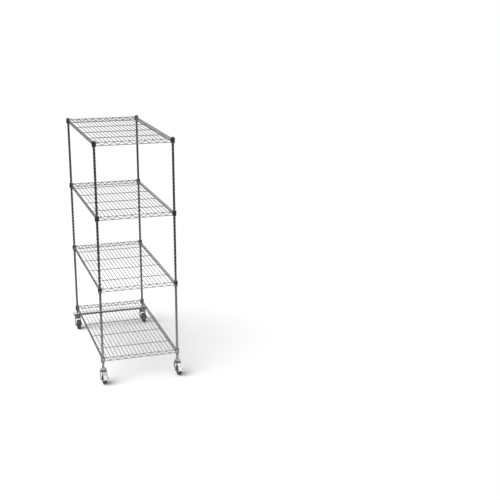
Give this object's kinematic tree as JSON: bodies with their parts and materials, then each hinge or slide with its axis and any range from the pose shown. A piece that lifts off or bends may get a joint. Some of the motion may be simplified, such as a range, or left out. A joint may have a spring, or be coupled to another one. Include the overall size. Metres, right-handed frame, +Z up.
{
  "type": "wire shelving rack",
  "caption": "Tall narrow mobile wire shelving rack: grooved posts, slatted wire shelves with snake-wire rims, a flat rear bar and swivel casters with toe brakes at the front.",
  "frame": {"origin": "on the floor, under the middle of the rack's bounding box", "axes": "+Z up; -Y towards the front, the short end with the toe brakes; X across the short side"},
  "size_m": [0.599, 1.3152, 1.7155],
  "materials": {
    "wire_chrome": "bright chrome-plated wire",
    "post_chrome": "chrome-plated tube with rolled grooves",
    "bar_steel": "zinc-plated flat tube",
    "caster_zinc": "bright zinc-plated pressed steel",
    "pedal_steel": "bright zinc-plated pressed steel",
    "sleeve_plastic": "moulded, fine texture",
    "cap_plastic": "moulded, satin",
    "tread_rubber": "moulded tread, dull",
    "hub_plastic": "moulded, satin"
  },
  "bodies": {
    "rack": {"post_front_left": "post_chrome", "post_cap_front_left": "cap_plastic", "post_front_right": "post_chrome", "post_cap_front_right": "cap_plastic", "post_rear_left": "post_chrome", "post_cap_rear_left": "cap_plastic", "post_rear_right": "post_chrome", "post_cap_rear_right": "cap_plastic", "shelf_1_frame": "wire_chrome", "shelf_1_deck": "wire_chrome", "sleeve_1_front_left": "sleeve_plastic", "sleeve_1_front_right": "sleeve_plastic", "sleeve_1_rear_left": "sleeve_plastic", "sleeve_1_rear_right": "sleeve_plastic", "shelf_2_frame": "wire_chrome", "shelf_2_deck": "wire_chrome", "sleeve_2_front_left": "sleeve_plastic", "sleeve_2_front_right": "sleeve_plastic", "sleeve_2_rear_left": "sleeve_plastic", "sleeve_2_rear_right": "sleeve_plastic", "shelf_3_frame": "wire_chrome", "shelf_3_deck": "wire_chrome", "sleeve_3_front_left": "sleeve_plastic", "sleeve_3_front_right": "sleeve_plastic", "sleeve_3_rear_left": "sleeve_plastic", "sleeve_3_rear_right": "sleeve_plastic", "shelf_4_frame": "wire_chrome", "shelf_4_deck": "wire_chrome", "sleeve_4_front_left": "sleeve_plastic", "sleeve_4_front_right": "sleeve_plastic", "sleeve_4_rear_left": "sleeve_plastic", "sleeve_4_rear_right": "sleeve_plastic", "rear_bar": "bar_steel", "caster_stem_front_left": "caster_zinc", "caster_stem_front_right": "caster_zinc", "caster_plate_rear_left": "caster_zinc", "caster_plate_rear_right": "caster_zinc"},
    "caster_front_left": {"swivel_bearing_front_left": "caster_zinc", "fork_front_left": "caster_zinc", "axle_front_left": "caster_zinc"},
    "wheel_front_left": {"wheel_tread_front_left": "tread_rubber", "wheel_hub_front_left": "hub_plastic"},
    "pedal_front_left": {"brake_pedal_front_left": "pedal_steel"},
    "caster_front_right": {"swivel_bearing_front_right": "caster_zinc", "fork_front_right": "caster_zinc", "axle_front_right": "caster_zinc"},
    "wheel_front_right": {"wheel_tread_front_right": "tread_rubber", "wheel_hub_front_right": "hub_plastic"},
    "pedal_front_right": {"brake_pedal_front_right": "pedal_steel"},
    "caster_rear_left": {"swivel_bearing_rear_left": "caster_zinc", "fork_rear_left": "caster_zinc", "axle_rear_left": "caster_zinc"},
    "wheel_rear_left": {"wheel_tread_rear_left": "tread_rubber", "wheel_hub_rear_left": "hub_plastic"},
    "caster_rear_right": {"swivel_bearing_rear_right": "caster_zinc", "fork_rear_right": "caster_zinc", "axle_rear_right": "caster_zinc"},
    "wheel_rear_right": {"wheel_tread_rear_right": "tread_rubber", "wheel_hub_rear_right": "hub_plastic"}
  },
  "joints": [
    {"name": "swivel_front_left", "type": "hinge", "parent": "rack", "child": "caster_front_left", "pos_m": [-0.2685, -0.56265, 0.09], "axis": [0, 0, 1], "continuous": true},
    {"name": "wheel_spin_front_left", "type": "hinge", "parent": "caster_front_left", "child": "wheel_front_left", "pos_m": [-0.2685, -0.60065, 0.038], "axis": [1, 0, 0], "continuous": true},
    {"name": "brake_front_left", "type": "hinge", "parent": "caster_front_left", "child": "pedal_front_left", "pos_m": [-0.2685, -0.60865, 0.084], "axis": [1, 0, 0], "range_deg": [0, 8]},
    {"name": "swivel_front_right", "type": "hinge", "parent": "rack", "child": "caster_front_right", "pos_m": [0.2685, -0.56265, 0.09], "axis": [0, 0, 1], "continuous": true},
    {"name": "wheel_spin_front_right", "type": "hinge", "parent": "caster_front_right", "child": "wheel_front_right", "pos_m": [0.2685, -0.60065, 0.038], "axis": [1, 0, 0], "continuous": true},
    {"name": "brake_front_right", "type": "hinge", "parent": "caster_front_right", "child": "pedal_front_right", "pos_m": [0.2685, -0.60865, 0.084], "axis": [1, 0, 0], "range_deg": [0, 8]},
    {"name": "swivel_rear_left", "type": "hinge", "parent": "rack", "child": "caster_rear_left", "pos_m": [-0.2685, 0.63135, 0.09], "axis": [0, 0, 1], "continuous": true},
    {"name": "wheel_spin_rear_left", "type": "hinge", "parent": "caster_rear_left", "child": "wheel_rear_left", "pos_m": [-0.2685, 0.59335, 0.038], "axis": [1, 0, 0], "continuous": true},
    {"name": "swivel_rear_right", "type": "hinge", "parent": "rack", "child": "caster_rear_right", "pos_m": [0.2685, 0.63135, 0.09], "axis": [0, 0, 1], "continuous": true},
    {"name": "wheel_spin_rear_right", "type": "hinge", "parent": "caster_rear_right", "child": "wheel_rear_right", "pos_m": [0.2685, 0.59335, 0.038], "axis": [1, 0, 0], "continuous": true}
  ]
}
